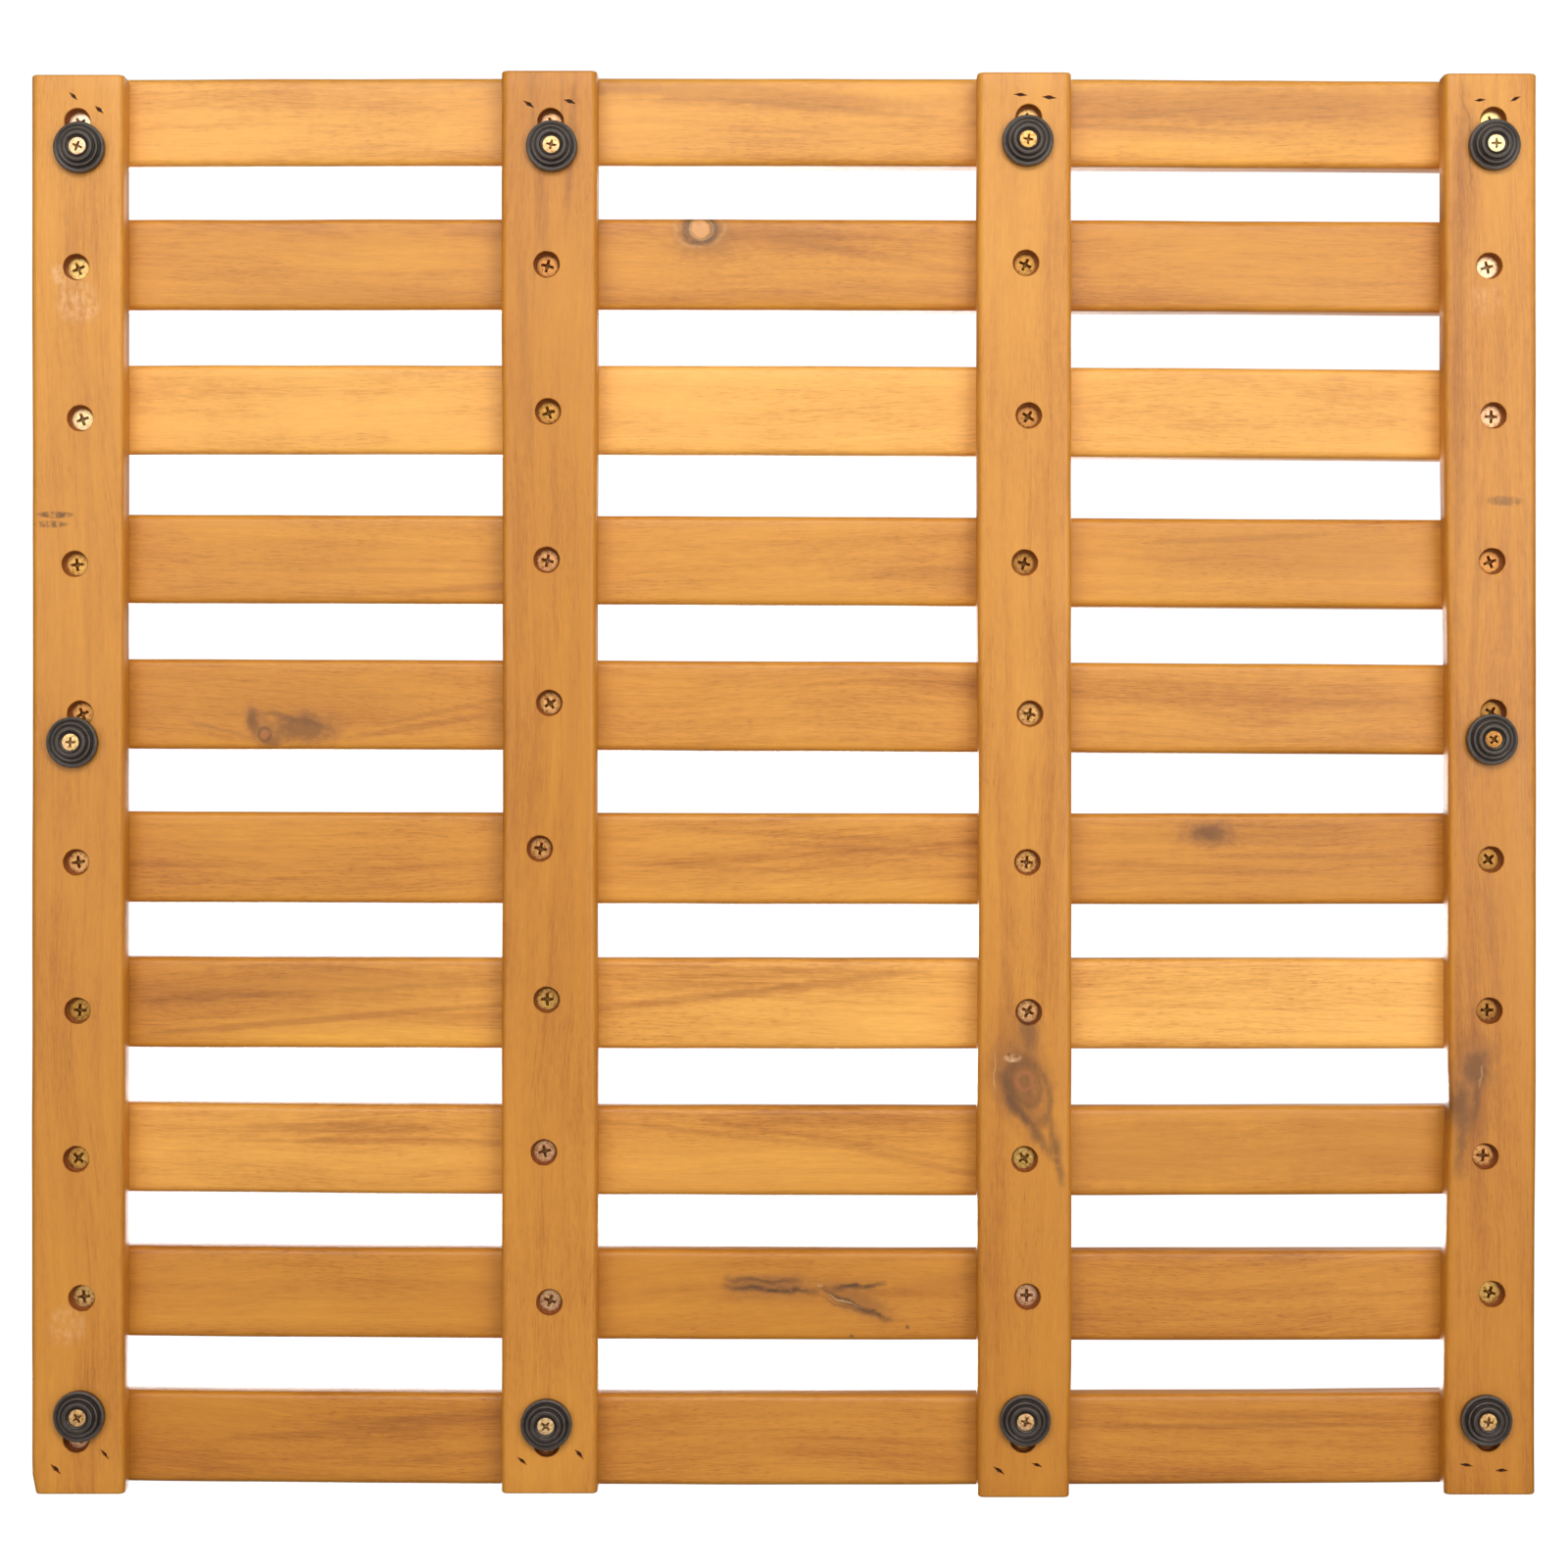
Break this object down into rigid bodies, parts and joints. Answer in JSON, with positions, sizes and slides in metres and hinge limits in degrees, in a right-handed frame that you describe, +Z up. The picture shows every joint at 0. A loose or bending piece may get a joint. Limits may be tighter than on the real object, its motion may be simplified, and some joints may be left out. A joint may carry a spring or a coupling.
{
  "type": "slatted wooden bath mat",
  "caption": "Rigid slatted wooden duckboard bath mat: slats across rails, screwed from below and standing on small ringed rubber feet.",
  "frame": {"origin": "centre of the mat's outline on the floor that the feet stand on", "axes": "+X along the slats, +Y along the rails towards slat_1, +Z up from the feet to the standing side"},
  "size_m": [0.5534, 0.5244, 0.03],
  "materials": {
    "slat_wood": "clear satin oil over orange-brown hardwood",
    "rail_wood": "clear satin oil over orange-brown hardwood",
    "foot_rubber": "moulded matt black rubber",
    "screw_zinc": "yellow zinc plate",
    "brad_steel": "dull steel"
  },
  "bodies": {
    "root": {"slat_1": "slat_wood", "slat_2": "slat_wood", "slat_3": "slat_wood", "slat_4": "slat_wood", "slat_5": "slat_wood", "slat_6": "slat_wood", "slat_7": "slat_wood", "slat_8": "slat_wood", "slat_9": "slat_wood", "slat_10": "slat_wood", "rail_1": "rail_wood", "rail_2": "rail_wood", "rail_3": "rail_wood", "rail_4": "rail_wood", "foot_1": "foot_rubber", "foot_2": "foot_rubber", "foot_3": "foot_rubber", "foot_4": "foot_rubber", "foot_5": "foot_rubber", "foot_6": "foot_rubber", "foot_7": "foot_rubber", "foot_8": "foot_rubber", "foot_9": "foot_rubber", "foot_10": "foot_rubber", "foot_screw_1": "screw_zinc", "foot_screw_2": "screw_zinc", "foot_screw_3": "screw_zinc", "foot_screw_4": "screw_zinc", "foot_screw_5": "screw_zinc", "foot_screw_6": "screw_zinc", "foot_screw_7": "screw_zinc", "foot_screw_8": "screw_zinc", "foot_screw_9": "screw_zinc", "foot_screw_10": "screw_zinc", "slat_screws_rail_1": "screw_zinc", "slat_screws_rail_2": "screw_zinc", "slat_screws_rail_3": "screw_zinc", "slat_screws_rail_4": "screw_zinc", "brads_rail_1": "brad_steel", "brads_rail_2": "brad_steel", "brads_rail_3": "brad_steel", "brads_rail_4": "brad_steel"}
  },
  "joints": []
}
